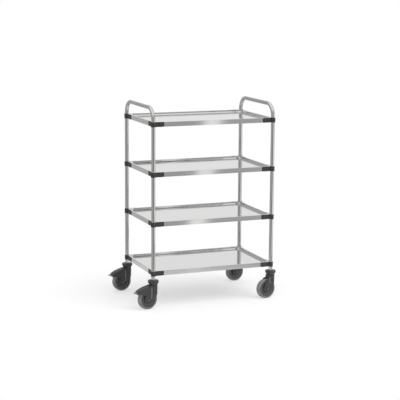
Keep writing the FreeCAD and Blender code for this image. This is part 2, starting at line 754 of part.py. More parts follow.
def axle(name, corner):
    """Bolt through both cheeks with a hexagonal head and nut, and the sleeve that the bearings run on."""
    across = "axle_head_size / sqrt(3)"
    pieces = [rod("axle_dia / 2", SLOT_WIDTH, z=f"-{SLOT_WIDTH} / 2"),
              rod("axle_end_dia / 2", FORK_WIDTH, z=f"-{FORK_WIDTH} / 2")]
    for start, height in ((f"-{FORK_WIDTH} / 2 - axle_head_height", "axle_head_height"),
                          (f"{FORK_WIDTH} / 2", "axle_nut_height")):
        hexagon = doc.addObject("Part::Prism", "hexagon")
        hexagon.Polygon = HEX_SIDES
        pieces.append(place(bind(hexagon, Circumradius=across, Height=height), z=start))
    return part(stand(fuse(*pieces), corner, f"-{CASTORS[corner].trail}", WHEEL_MIDDLE, lie=True), name)


def wheel_core(name, corner):
    """Moulded wheel body: hub, stepped web and a flared rim."""
    inner = "wheel_dia / 2 - tyre_depth - rim_thickness"
    half = (("wheel_bearing_dia / 2", "hub_length / 2"), ("hub_dia / 2", "hub_length / 2"),
            ("hub_dia / 2", "web_thickness / 2"), ("web_step_dia / 2", "web_thickness / 2"),
            ("web_step_dia / 2", "web_thickness / 2 - web_step"), (inner, "web_thickness / 2 - web_step"),
            (f"{inner} + rim_slope", "rim_width / 2"), ("wheel_dia / 2 - tyre_depth", "rim_width / 2"))

    def draw(sketch):
        outline = Outline(sketch, half[0][0], f"-{half[0][1]}")
        for radius, out in half[1:]:
            outline.line(radius, f"-({out})")
        for radius, out in reversed(half):
            outline.line(radius, out)
        outline.close()
    return part(stand(turned(name, draw), corner, f"-{CASTORS[corner].trail}", WHEEL_MIDDLE, lie=True), name)


def tyre(name, corner):
    """Tread with rounded shoulders on the wheel's rim."""
    seat = "wheel_dia / 2 - tyre_depth"
    side = "wheel_dia / 2 - tyre_shoulder"
    crown = "tyre_width / 2 - tyre_shoulder"

    def draw(sketch):
        outline = Outline(sketch, seat, "-rim_width / 2").line(side, "-tyre_width / 2")
        outline.arc("wheel_dia / 2", f"-({crown})", "tyre_shoulder", left=True).line("wheel_dia / 2", crown)
        outline.arc(side, "tyre_width / 2", "tyre_shoulder", left=True).line(seat, "rim_width / 2").close()
    return part(stand(turned(name, draw), corner, f"-{CASTORS[corner].trail}", WHEEL_MIDDLE, lie=True), name)


def wheel_bearings(name, corner):
    """Two rings in the wheel's hub, flush with its ends."""
    rings = bearing_pair(name, "axle_dia", "wheel_bearing_dia", "wheel_bearing_width",
                         "hub_length / 2 - wheel_bearing_width")
    return part(stand(rings, corner, f"-{CASTORS[corner].trail}", WHEEL_MIDDLE, lie=True), name)


def brake_pedal(name, corner):
    """Pedal whose shoe swings towards the tread when its tip is trodden down."""
    outline = Outline(upright_sketch(f"{name}_side"), PIVOT_X, f"{PIVOT_Z} + pedal_root")
    outline.line(f"{PIVOT_X} - pedal_neck", f"{PIVOT_Z} + pedal_neck_rise")
    outline.line(f"{PIVOT_X} - pedal_reach + pedal_tip_bevel", f"{PIVOT_Z} - pedal_tip_drop")
    outline.line(f"{PIVOT_X} - pedal_reach", f"{PIVOT_Z} - pedal_tip_drop - pedal_tip_thickness")
    outline.line(f"{PIVOT_X} - pedal_belly", f"{PIVOT_Z} - pedal_belly_drop")
    outline.line(f"{PIVOT_X} - pedal_heel", f"{PIVOT_Z} - pedal_heel_drop")
    outline.line(f"{PIVOT_X} - pedal_heel", f"{PIVOT_Z} - shoe_heel_drop")
    reach = "wheel_dia / 2 + shoe_gap"
    low, high = (polar(f"-{BRAKED.trail}", WHEEL_MIDDLE, reach, angle) for angle in SHOE_ANGLES)
    outline.line(*low).arc(*high, reach)
    outline.line(*polar(PIVOT_X, PIVOT_Z, "pedal_root", PEDAL_ROOT_ANGLE)).close("pedal_root", left=True)
    pedal = round_edges(slab(outline.sketch, "pedal_width"), "pedal_edge_round",
                        lambda edge: abs(edge.CenterOfMass.y) > amount("pedal_width / 2 - overrun"))
    past = "-(pedal_width / 2 + overrun)"
    through = "pedal_width + 2 * overrun"
    bore = rod("pivot_dia / 2 + shaft_fit", through, PIVOT_X, past, PIVOT_Z, Y_AXIS)
    slope = "(pedal_neck_rise + pedal_tip_drop) / (pedal_reach - pedal_tip_bevel - pedal_neck)"
    grooves = []
    for number in range(1, GRIP_GROOVES + 1):
        along = f"{number} * grip_pitch"
        grooves.append(rod("grip_dia / 2", through, f"{PIVOT_X} - pedal_neck - {along}", past,
                           f"{PIVOT_Z} + pedal_neck_rise - {along} * {slope}", Y_AXIS))
    return part(stand(cut(pedal, bore, *grooves), corner), name)


def brake_pin(name, corner):
    """Pin that carries the pedal between the hood's walls."""
    pin = turned(name, stack(f"-{COVER_WIDTH} / 2", f"{COVER_WIDTH} / 2", "0", "pivot_dia / 2"))
    return part(stand(pin, corner, PIVOT_X, PIVOT_Z, lie=True), name)


for label, side in (("end_frame_left", -1), ("end_frame_right", 1)):
    end_frame(label, side)
for level_name, level_number in LEVELS.items():
    shelf_tray(f"shelf_tray_{level_name}", level_number)
    for corner_name, sides in CORNERS.items():
        corner_connector(f"corner_{level_name}_{corner_name}", level_number, *sides)
tray_screws("tray_screws")
CASTOR_PIECES = {"castor_stem": castor_stem, "swivel_cap": swivel_cap, "swivel_bearings": swivel_bearings,
                 "castor_fork": castor_fork, "axle": axle, "wheel_core": wheel_core, "tyre": tyre,
                 "wheel_bearings": wheel_bearings}
BRAKE_PIECES = {"brake_pin": brake_pin, "brake_pedal": brake_pedal}
for corner_name in CORNERS:
    brake_pieces = BRAKE_PIECES if CASTORS[corner_name] is BRAKED else {}
    for piece_name, make in {**CASTOR_PIECES, **brake_pieces}.items():
        make(f"{piece_name}_{corner_name}", corner_name)
doc.recompute()

outline_box = FreeCAD.BoundBox()
for item in parts:
    outline_box.add(item.Shape.optimalBoundingBox(False))
for row, middle in enumerate((outline_box.Center.x, outline_box.Center.y), start=len(SIZES) + 1):
    sheet.set(f"B{row}", str(middle))
doc.recompute()

for item in doc.Objects:
    assert not {"Invalid", "Error"} & set(item.State), f"{item.Name} ({item.Label}): {item.State}"
os.makedirs("parts", exist_ok=True)
for item in parts:
    assert not item.Shape.isNull() and item.Shape.isValid(), item.Label
    item.Shape.exportStep(f"parts/{item.Label}.step")
print("middle of the outline", outline_box.Center, "size", outline_box)
for item in parts:
    print(item.Label, item.Shape.ShapeType, len(item.Shape.Solids), round(item.Shape.Volume))
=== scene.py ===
"""Looks of a stainless utility cart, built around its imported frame.

Lengths are metres and angles degrees. The cart stands on z = 0 with its braked castors towards -X.
"""
import logging
import math
from collections.abc import Callable
from dataclasses import dataclass, replace
from enum import Enum

import bpy
from mathutils import Matrix, Quaternion, Vector


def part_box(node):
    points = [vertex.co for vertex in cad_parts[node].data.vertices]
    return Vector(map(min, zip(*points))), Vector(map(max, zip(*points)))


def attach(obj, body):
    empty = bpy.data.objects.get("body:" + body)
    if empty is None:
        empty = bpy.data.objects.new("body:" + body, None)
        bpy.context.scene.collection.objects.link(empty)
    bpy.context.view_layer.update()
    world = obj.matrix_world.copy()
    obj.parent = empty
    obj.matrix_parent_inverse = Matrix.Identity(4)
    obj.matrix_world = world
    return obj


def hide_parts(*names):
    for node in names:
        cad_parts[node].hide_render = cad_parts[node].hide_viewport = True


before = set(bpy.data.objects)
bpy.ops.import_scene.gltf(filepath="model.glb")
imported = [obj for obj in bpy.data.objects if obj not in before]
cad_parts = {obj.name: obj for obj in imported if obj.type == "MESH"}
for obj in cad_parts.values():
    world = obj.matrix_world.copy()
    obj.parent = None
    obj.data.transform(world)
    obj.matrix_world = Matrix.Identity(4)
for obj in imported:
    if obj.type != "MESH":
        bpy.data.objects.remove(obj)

log = logging.getLogger("utility_cart")
Colour = tuple[float, float, float]
Triple = tuple[float, float, float]
Output = bpy.types.NodeSocket
Plain = float | tuple[float, ...]

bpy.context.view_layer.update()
WHITE = (1.0, 1.0, 1.0, 1.0)
UPWARDS = (0.0, 0.0, 1.0)
# Most of a noise lies between these two values.
NOISE_LOW = 0.3
NOISE_HIGH = 0.7
# A face lies level where its normal runs further up or down than this.
LEVEL_FACE = 0.9


class Grain(Enum):
    """Which way a brushed finish runs, as the cells of its noise per metre along X, Y and Z."""

    LONG_WAY = (3.0, 900.0, 900.0)
    UPRIGHT = (900.0, 900.0, 4.0)
    EVEN = (500.0, 500.0, 500.0)


class Level(Enum):
    """The shelves from the floor up."""

    BOTTOM = "bottom"
    LOWER = "lower"
    UPPER = "upper"
    TOP = "top"


class Corner(Enum):
    """The castors' corners."""

    FRONT_LEFT = "front_left"
    REAR_LEFT = "rear_left"
    FRONT_RIGHT = "front_right"
    REAR_RIGHT = "rear_right"

    @property
    def braked(self) -> bool:
        """True where the castor has a foot brake."""
        return self.value.endswith("left")

    @property
    def inward(self) -> Vector:
        """Which way the middle of the cart lies along X and Y."""
        return Vector((1.0 if self.braked else -1.0, 1.0 if self.value.startswith("front") else -1.0, 0.0))


class Wiring:
    """The node tree of a material or a world under construction."""

    def __init__(self, owner: bpy.types.Material | bpy.types.World) -> None:
        """Start wiring.

        Args:
            owner: The material or world.
        """
        owner.use_nodes = True
        self.owner = owner
        self.tree = owner.node_tree
        self.shader = self.tree.nodes.get("Principled BSDF")

    @classmethod
    def finish(cls, name: str) -> "Wiring":
        """Start a new material of a name."""
        return cls(bpy.data.materials.new(name))

    def feed(self, node: bpy.types.Node, socket: str | int, source: Output | Plain) -> None:
        """Link an output to an input of a node, or set the input to a plain value.

        Args:
            node: The node.
            socket: Name or number of the input.
            source: The output, or the number, vector or colour.
        """
        if isinstance(source, Output):
            self.tree.links.new(source, node.inputs[socket])
        else:
            node.inputs[socket].default_value = source

    def add(self, kind: str, **inputs: object) -> bpy.types.Node:
        """Add a node.

        Args:
            kind: Type of the node.
            inputs: What feeds its inputs, by name with underscores for spaces, and its properties.

        Returns:
            The node.
        """
        node = self.tree.nodes.new(kind)
        for name, source in inputs.items():
            socket = name.replace("_", " ")
            if node.inputs.get(socket) is None:
                setattr(node, name, source)
            else:
                self.feed(node, socket, source)
        return node

    def shade(self, **inputs: object) -> None:
        """Feed inputs of the material's own shader, by name with underscores for spaces."""
        for name, source in inputs.items():
            self.feed(self.shader, name.replace("_", " "), source)

    def maths(self, operation: str, first: Output, second: Output | float = 0.0) -> Output:
        """Work out a sum.

        Args:
            operation: Name of the sum.
            first: Its first value.
            second: Its second value, where it has one.

        Returns:
            The result.
        """
        node = self.add("ShaderNodeMath", operation=operation)
        self.feed(node, 0, first)
        self.feed(node, 1, second)
        return node.outputs["Value"]

    def product(self, first: Output, *others: Output) -> Output:
        """Multiply values.

        Args:
            first: The first value.
            others: The others.

        Returns:
            The product.
        """
        for other in others:
            first = self.maths("MULTIPLY", first, other)
        return first

    def spread(self, source: Output, start: float, stop: float, low: float = 0.0, high: float = 1.0,
               curve: str = "SMOOTHSTEP") -> Output:
        """Map one range of values on another.

        Args:
            source: The value.
            start: Where the first range starts.
            stop: Where it stops.
            low: Where the second range starts.
            high: Where it stops.
            curve: How values between are spread.

        Returns:
            The mapped value.
        """
        node = self.add("ShaderNodeMapRange", interpolation_type=curve, Value=source,
                        From_Min=start, From_Max=stop, To_Min=low, To_Max=high)
        return node.outputs["Result"]

    def mixed(self, factor: Output, first: Output | float, second: Output | float) -> Output:
        """Mix two values.

        Args:
            factor: 0 for the first and 1 for the second.
            first: The first value.
            second: The second value.

        Returns:
            The mixed value.
        """
        mix = self.add("ShaderNodeMix", data_type="FLOAT", Factor=factor, A=first, B=second)
        return mix.outputs["Result"]

    def tinted(self, factor: Output, low: Colour | Output, high: Colour) -> Output:
        """Turn a factor into a colour between two.

        Args:
            factor: The factor.
            low: The colour at 0, plain or from another node.
            high: The colour at 1.

        Returns:
            The colour.
        """
        start = low if isinstance(low, Output) else (*low, 1.0)
        mix = self.add("ShaderNodeMix", data_type="RGBA", Factor=factor, A=start, B=(*high, 1.0))
        return mix.outputs["Result"]

    def blended(self, factor: Output, first: Output, second: Output) -> Output:
        """Blend two shaders.

        Args:
            factor: 0 for the first and 1 for the second.
            first: The first shader.
            second: The second shader.

        Returns:
            The blend.
        """
        mix = self.add("ShaderNodeMixShader", Fac=factor)
        self.feed(mix, 1, first)
        self.feed(mix, 2, second)
        return mix.outputs["Shader"]

    def along(self, source: Output, way: Triple) -> Output:
        """Measure how far a vector runs along a way.

        Args:
            source: The vector.
            way: The way, one long.

        Returns:
            The length.
        """
        node = self.add("ShaderNodeVectorMath", operation="DOT_PRODUCT")
        self.feed(node, 0, source)
        self.feed(node, 1, way)
        return node.outputs["Value"]

    def parts(self, source: Output) -> tuple[Output, ...]:
        """Split a vector into its three numbers."""
        return tuple(self.add("ShaderNodeSeparateXYZ", Vector=source).outputs)

    def place(self, centre: Triple = (0.0, 0.0, 0.0), turn: float = 0.0) -> Output:
        """Coordinates of the object's own space, or of a space centred and turned in it.

        Args:
            centre: Where the other space has its origin.
            turn: How far it is turned about the upright.

        Returns:
            The coordinates.
        """
        own = self.add("ShaderNodeTexCoord").outputs["Object"]
        mapping = self.add("ShaderNodeMapping", vector_type="TEXTURE", Vector=own, Location=centre,
                           Rotation=(0.0, 0.0, math.radians(turn)))
        return mapping.outputs["Vector"]

    def noise(self, cells: Triple, detail: float = 3.0, roughness: float = 0.6) -> Output:
        """Noise in the object's own space.

        Args:
            cells: Noise cells per metre along X, Y and Z.
            detail: Octaves of the noise.
            roughness: How strong each octave is beside the one before it.

        Returns:
            The noise's factor.
        """
        scaled = self.add("ShaderNodeMapping", Vector=self.place(), Scale=cells).outputs["Vector"]
        noise = self.add("ShaderNodeTexNoise", Vector=scaled, Scale=1.0, Detail=detail, Roughness=roughness)
        return noise.outputs["Fac"]

    def ranged(self, noise: Output, low: float = 0.0, high: float = 1.0) -> Output:
        """Spread the middle of a noise evenly between two values."""
        return self.spread(noise, NOISE_LOW, NOISE_HIGH, low, high, "LINEAR")

    def bumped(self, height: Output, strength: float, depth: float) -> None:
        """Raise the surface by a factor.

        Args:
            height: The factor.
            strength: How much of the bump shows.
            depth: How far a factor of 1 raises the surface.
        """
        bump = self.add("ShaderNodeBump", Strength=strength, Distance=depth, Height=height)
        self.shade(Normal=bump.outputs["Normal"])


@dataclass(frozen=True)
class BrushedSteel:
    """Stainless or plated steel with fine grinding lines and faint wipe marks.

    Attributes:
        name: Name of the material.
        colour: Its middle colour.
        grain: Which way the lines run.
        roughness: Its middle roughness.
        spread: How far the lines change the roughness in all.
        line_strength: How much of the lines' relief shows.
        line_depth: How deep the lines are.
        darkest: Share of the colour that the darkest lines keep.
        lightest: Share of it that the lightest lines reach.
        marks_per_metre: Cells of the wipe marks' noise.
        mark_detail: Octaves of that noise.
        mark_share: How far the marks change the roughness each way, as a share of the spread.
    """

    name: str
    colour: Colour
    grain: Grain
    roughness: float
    spread: float
    line_strength: float = 0.12
    line_depth: float = 0.00002
    darkest: float = 0.975
    lightest: float = 1.02
    marks_per_metre: float = 14.0
    mark_detail: float = 6.0
    mark_share: float = 0.2

    def material(self) -> bpy.types.Material:
        """Make the finish.

        Returns:
            The material.
        """
        wiring = Wiring.finish(self.name)
        lines = wiring.noise(self.grain.value)
        marks = wiring.noise((self.marks_per_metre,) * 3, self.mark_detail)
        dark = tuple(channel * self.darkest for channel in self.colour)
        light = tuple(channel * self.lightest for channel in self.colour)
        fine = wiring.ranged(lines, self.roughness - self.spread / 2, self.roughness + self.spread / 2)
        overlay = wiring.ranged(marks, -self.spread * self.mark_share, self.spread * self.mark_share)
        wiring.shade(Base_Color=wiring.tinted(wiring.ranged(lines), dark, light),
                     Roughness=wiring.maths("ADD", fine, overlay), Metallic=1.0)
        wiring.bumped(lines, self.line_strength, self.line_depth)
        return wiring.owner


@dataclass(frozen=True)
class Moulded:
    """Dull finish with fine pores and a little dust in them: moulded plastic, rubber or blackened steel.

    Attributes:
        name: Name of the material.
        colour: Its middle colour.
        roughness: Its middle roughness.
        pores_per_metre: Cells of the pores' noise.
        pore_detail: Octaves of that noise.
        pore_strength: How much of the pores' relief shows.
        pore_depth: How deep the pores are.
        clouds_per_metre: Cells of the dust's noise.
        cloud_detail: Octaves of that noise.
        dust: Share by which the dustiest places are lighter. The cleanest are darker by half of it.
        dust_tone: What a dust of 1 would add to each channel besides.
        smoother: How far the cleanest places are below the middle roughness.
        rougher: How far the dustiest places are above it.
        wear_and_highlight_colour: Pale colour of rubbed wear, and of the fork's painted highlight.
    """

    name: str
    colour: Colour
    roughness: float
    pores_per_metre: float = 1600.0
    pore_detail: float = 2.0
    pore_strength: float = 0.35
    pore_depth: float = 0.00006
    clouds_per_metre: float = 28.0
    cloud_detail: float = 6.0
    dust: float = 0.25
    dust_tone: float = 0.01
    smoother: float = 0.06
    rougher: float = 0.08
    # The fork keeps this default as the colour of its painted highlight; the tyre sets its own scuff colour.
    wear_and_highlight_colour: Colour = (0.4, 0.4, 0.405)

    def wear_and_highlight(self, wiring: Wiring) -> Output | None:
        """Where the surface is pale, as a factor: scuffed wear on the tyre, a painted highlight on the fork's
        ridges. A plain moulding has none.
        """
        return None

    def material(self) -> bpy.types.Material:
        """Make the finish.

        Returns:
            The material.
        """
        wiring = Wiring.finish(self.name)
        pores = wiring.noise((self.pores_per_metre,) * 3, self.pore_detail)
        cloud = wiring.noise((self.clouds_per_metre,) * 3, self.cloud_detail)
        clean = tuple(channel * (1 - self.dust / 2) for channel in self.colour)
        dusty = tuple(channel * (1 + self.dust) + self.dust_tone * self.dust for channel in self.colour)
        colour = wiring.tinted(wiring.ranged(cloud), clean, dusty)
        # Pale overlay: real scuffs on the tyre, a painted highlight along the fork's ridges.
        overlay = self.wear_and_highlight(wiring)
        if overlay is not None:
            colour = wiring.tinted(overlay, colour, self.wear_and_highlight_colour)
        roughness = wiring.ranged(cloud, self.roughness - self.smoother, self.roughness + self.rougher)
        wiring.shade(Base_Color=colour, Roughness=roughness)
        wiring.bumped(pores, self.pore_strength, self.pore_depth)
        return wiring.owner


@dataclass(frozen=True)
class ForkPlastic(Moulded):
    """The castor fork's plastic, with a painted highlight: a pale line along the ridge down each cheek.

    Attributes:
        stem: Where the castor's stem stands on the floor.
        turn: How far the castor is turned about it.
        ridge: How far along the turned fork the ridges stand from the stem.
        ridge_half_width: Half the width of the painted highlight line.
        full_share: Share of that width that is painted at full brightness.
        ridge_proud: How far the ridges' crowns stand from the fork's middle plane.
        crown_depth: How far below its crown a ridge still carries the painted highlight.
        ridge_top: Height at which the painted highlight line ends.
        top_fade: Length over which it fades out below that.
        patches_per_metre: Cells of the noise that makes the painted highlight patchy, along X, Y and Z.
        patch_detail: Octaves of that noise.
        dimmest_highlight: Factor of the faintest patches of the painted highlight.
    """

    stem: Triple = (0.0, 0.0, 0.0)
    turn: float = 0.0
    ridge: float = 0.0
    ridge_half_width: float = 0.0026
    full_share: float = 0.6
    ridge_proud: float = 0.0254
    crown_depth: float = 0.0003
    ridge_top: float = 0.140
    top_fade: float = 0.003
    patches_per_metre: Triple = (90.0, 90.0, 45.0)
    patch_detail: float = 5.0
    dimmest_highlight: float = 0.6

    def wear_and_highlight(self, wiring: Wiring) -> Output | None:
        """Where the painted highlight lies: a pale line on the crown of both ridges.

        Args:
            wiring: The material's wiring.

        Returns:
            The factor.
        """
        # Painted highlight: the pale line stands in for light caught by the rounded crown of each ridge.
        along, across, height = wiring.parts(wiring.place(self.stem, self.turn))
        aside = wiring.maths("ABSOLUTE", wiring.maths("SUBTRACT", along, self.ridge))
        near = wiring.spread(aside, self.ridge_half_width, self.ridge_half_width * self.full_share)
        outwards = wiring.maths("ABSOLUTE", across)
        proud = wiring.spread(outwards, self.ridge_proud - self.crown_depth, self.ridge_proud)
        low = wiring.spread(height, self.ridge_top, self.ridge_top - self.top_fade)
        patches = wiring.ranged(wiring.noise(self.patches_per_metre, self.patch_detail), self.dimmest_highlight)
        return wiring.product(near, proud, low, patches)


@dataclass(frozen=True)
class TreadRubber(Moulded):
    """The tyre's grey rubber, scuffed where it runs on the floor.

    Attributes:
        wear_and_highlight_colour: Colour of the scuffs.
        hub: Where the wheel has its middle.
        turn: How far the castor is turned about the upright.
        radius: The tyre's radius.
        scuff_depth: How far in from the running face the scuffs reach.
        patches_per_metre: Cells of the scuffs' noise.
        patch_detail: Octaves of that noise.
        most_scuffed: Factor of the most scuffed patches.
    """

    wear_and_highlight_colour: Colour = (0.3, 0.3, 0.305)
    hub: Triple = (0.0, 0.0, 0.0)
    turn: float = 0.0
    radius: float = 0.0625
    scuff_depth: float = 0.005
    patches_per_metre: float = 120.0
    patch_detail: float = 6.0
    most_scuffed: float = 0.7

    def wear_and_highlight(self, wiring: Wiring) -> Output | None:
        """Where the tyre is scuffed pale: a band of patches round the running face.

        Args:
            wiring: The material's wiring.

        Returns:
            The factor.
        """
        along, _, height = wiring.parts(wiring.place(self.hub, self.turn))
        squares = wiring.maths("ADD", wiring.product(along, along), wiring.product(height, height))
        band = wiring.spread(wiring.maths("SQRT", squares), self.radius - self.scuff_depth, self.radius)
        noise = wiring.noise((self.patches_per_metre,) * 3, self.patch_detail)
        return wiring.product(band, wiring.ranged(noise, 0.0, self.most_scuffed))


def dress(node: str, material: bpy.types.Material) -> None:
    """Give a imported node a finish.

    Args:
        node: Name of the node.
        material: The finish.
    """
    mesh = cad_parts[node].data
    mesh.materials.clear()
    mesh.materials.append(material)


def middle(node: str) -> Vector:
    """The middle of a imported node's box."""
    low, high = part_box(node)
    return (Vector(low) + Vector(high)) / 2


def post_foot(corner: Corner) -> Vector:
    """The point of the floor under the middle of a corner's post."""
    return middle(f"castor_stem_{corner.value}") * Vector((1.0, 1.0, 0.0))


def select_only(*items: bpy.types.Object) -> None:
    """Select some objects and nothing else.

    Args:
        items: The objects, of which the first becomes the active one.
    """
    bpy.ops.object.select_all(action="DESELECT")
    for item in items:
        item.select_set(True)
    bpy.context.view_layer.objects.active = items[0]


def edit_faces(item: bpy.types.Object, chosen: Callable[[bpy.types.MeshPolygon], bool]) -> None:
    """Enter edit mode with chosen faces of an object selected.

    Args:
        item: The object.
        chosen: Tells which faces to select.
    """
    bpy.context.view_layer.objects.active = item
    bpy.ops.object.mode_set(mode="EDIT")
    bpy.ops.mesh.select_all(action="DESELECT")
    bpy.ops.mesh.select_mode(type="FACE")
    bpy.ops.object.mode_set(mode="OBJECT")
    for face in item.data.polygons:
        face.select = chosen(face)
    bpy.ops.object.mode_set(mode="EDIT")


@dataclass(frozen=True)
class Sun:
    """A soft sun that metal doesn't mirror.

    Attributes:
        name: Name of the lamp.
        strength: Its strength.
        spread: Angle that it fills in the sky.
        heading: Which way its light runs.
        height: Height of the lamp over the floor.
    """

    name: str
    strength: float
    spread: float
    heading: Triple
    height: float = 3.0

    def build(self) -> None:
        """Hang the sun."""
        bpy.ops.object.light_add(type="SUN", location=(0.0, 0.0, self.height))
        lamp = bpy.context.active_object
        lamp.name = self.name
        lamp.data.energy = self.strength
        lamp.data.angle = math.radians(self.spread)
        lamp.rotation_mode = "QUATERNION"
        lamp.rotation_quaternion = Vector(self.heading).to_track_quat("-Z", "Y")
        lamp.visible_glossy = False


@dataclass(frozen=True)
class Panel:
    """A flat light panel that faces the upright through the cart's middle and shines in the metal.

    Attributes:
        name: Name of the lamp.
        power: Its power in watts.
        size: Its width and height.
        place: Where its middle is.
        lean: How far it leans to its side.
    """

    name: str
    power: float
    size: tuple[float, float]
    place: Triple
    lean: float

    def build(self) -> None:
        """Stand the panel."""
        bpy.ops.object.light_add(type="AREA", location=self.place)
        lamp = bpy.context.active_object
        lamp.name = self.name
        lamp.data.shape = "RECTANGLE"
        lamp.data.size, lamp.data.size_y = self.size
        lamp.data.energy = self.power
        towards = Vector((-self.place[0], -self.place[1], 0.0))
        lean = Quaternion(towards, math.radians(self.lean))
        lamp.rotation_mode = "QUATERNION"
        lamp.rotation_quaternion = lean @ towards.to_track_quat("-Z", "Y")
        lamp.visible_camera = False


@dataclass(frozen=True)
class Floor:
    """Plain pale round floor that turns to the white background away from the cart.

    Attributes:
        radius: Its radius.
        sides: How many sides its rim has.
        tone: Its grey.
        roughness: Its roughness.
        lift: Share of white that the camera sees in it right under the cart.
        fade_start: Distance from the middle at which it starts to fade.
        fade_stop: Distance at which the camera sees it all white.
        mirror_stop: Distance at which the metal mirrors the room beyond it instead.
    """

    radius: float = 3.2
    sides: int = 128
    tone: float = 0.86
    roughness: float = 0.9
    lift: float = 0.5
    fade_start: float = 0.55
    fade_stop: float = 1.7
    mirror_stop: float = 1.5

    def build(self) -> None:
        """Lay the floor."""
        bpy.ops.object.select_all(action="DESELECT")
        bpy.ops.mesh.primitive_circle_add(vertices=self.sides, radius=self.radius, fill_type="NGON",
                                          location=(0.0, 0.0, 0.0))
        ground = bpy.context.active_object
        ground.name = "floor"
        ground.data.materials.append(self.material())

    def material(self) -> bpy.types.Material:
        """Make the floor's finish.

        Returns:
            The material.
        """
        wiring = Wiring.finish("pale_floor")
        wiring.shade(Base_Color=(self.tone, self.tone, self.tone, 1.0), Roughness=self.roughness,
                     Specular_IOR_Level=0.0)
        place = wiring.add("ShaderNodeTexCoord").outputs["Object"]
        away = wiring.add("ShaderNodeVectorMath", operation="LENGTH", Vector=place).outputs["Value"]
        rays = wiring.add("ShaderNodeLightPath").outputs
        fade = wiring.spread(away, self.fade_start, self.fade_stop, self.lift)
        glow = wiring.add("ShaderNodeEmission", Color=WHITE, Strength=1.0).outputs["Emission"]
        matt = wiring.shader.outputs["BSDF"]
        seen = wiring.blended(wiring.product(fade, rays["Is Camera Ray"]), matt, glow)
        far = wiring.spread(away, self.fade_start, self.mirror_stop)
        clear = wiring.add("ShaderNodeBsdfTransparent").outputs["BSDF"]
        mirrored = wiring.blended(wiring.product(far, rays["Is Glossy Ray"]), seen, clear)
        wiring.feed(wiring.tree.nodes["Material Output"], "Surface", mirrored)
        return wiring.owner


@dataclass(frozen=True)
class Room:
    """The camera's white background, and the room that lights the cart and shines in its metal.

    The room is pale behind the cart, darker in front of it and bright above. A level is a strength of white.
    A way is a direction that is one long. A start or a stop says how far along it a look runs, from -1 to 1.

    Attributes:
        far_wall_way: The way to the pale wall behind the cart.
        far_wall_start: Where that wall starts.
        far_wall_stop: Where it is full.
        far_wall_level: Its level.
        right_way: The way to the right and the front, towards which the room grows lighter.
        side_start: Where it starts to grow lighter.
        side_stop: Where it stops.
        left_level: Level on the left.
        right_level: Level on the right.
        near_wall_way: The way to the dark wall in front of the cart.
        near_wall_start: Where that wall starts.
        near_wall_stop: Where it is full.
        near_floor_level: Its level below the horizon.
        near_wall_level: Its level above the horizon.
        horizon_start: Where along the upright the change between these two starts.
        horizon_stop: Where it stops.
        ceiling_start: Where along the upright the ceiling starts.
        ceiling_stop: Where it is full.
        ceiling_level: Its level.
    """

    far_wall_way: Triple = (0.371, 0.9286, 0.0)
    far_wall_start: float = 0.85
    far_wall_stop: float = 0.95
    far_wall_level: float = 0.88
    right_way: Triple = (0.5736, -0.8192, 0.0)
    side_start: float = -0.97
    side_stop: float = 0.9
    left_level: float = 0.5
    right_level: float = 0.7
    near_wall_way: Triple = (-0.139, -0.990, 0.0)
    near_wall_start: float = 0.55
    near_wall_stop: float = 1.0
    near_floor_level: float = 0.32
    near_wall_level: float = 0.42
    horizon_start: float = -0.03
    horizon_stop: float = 0.1
    ceiling_start: float = 0.42
    ceiling_stop: float = 0.8
    ceiling_level: float = 1.15

    def build(self) -> None:
        """Make the room the scene's world."""
        wiring = Wiring(bpy.data.worlds.new("studio"))
        white = wiring.tree.nodes["Background"]
        wiring.feed(white, "Color", WHITE)
        around = wiring.add("ShaderNodeBackground", Color=WHITE, Strength=self.level(wiring))
        seen = wiring.blended(wiring.add("ShaderNodeLightPath").outputs["Is Camera Ray"],
                              around.outputs["Background"], white.outputs["Background"])
        wiring.feed(wiring.tree.nodes["World Output"], "Surface", seen)
        bpy.context.scene.world = wiring.owner

    def level(self, wiring: Wiring) -> Output:
        """Work out the room's level from the way of a look.

        Args:
            wiring: The world's wiring.

        Returns:
            The level.
        """
        way = wiring.add("ShaderNodeTexCoord").outputs["Generated"]
        height = wiring.along(way, UPWARDS)
        far = wiring.spread(wiring.along(way, self.far_wall_way), self.far_wall_start, self.far_wall_stop)
        near = wiring.spread(wiring.along(way, self.near_wall_way), self.near_wall_start, self.near_wall_stop)
        side = wiring.spread(wiring.along(way, self.right_way), self.side_start, self.side_stop,
                             self.left_level, self.right_level)
        horizon = wiring.spread(height, self.horizon_start, self.horizon_stop)
        sides = wiring.mixed(horizon, wiring.mixed(near, side, self.near_floor_level),
                             wiring.mixed(near, side, self.near_wall_level))
        walls = wiring.mixed(far, sides, self.far_wall_level)
        ceiling = wiring.spread(height, self.ceiling_start, self.ceiling_stop)
        return wiring.mixed(ceiling, walls, self.ceiling_level)


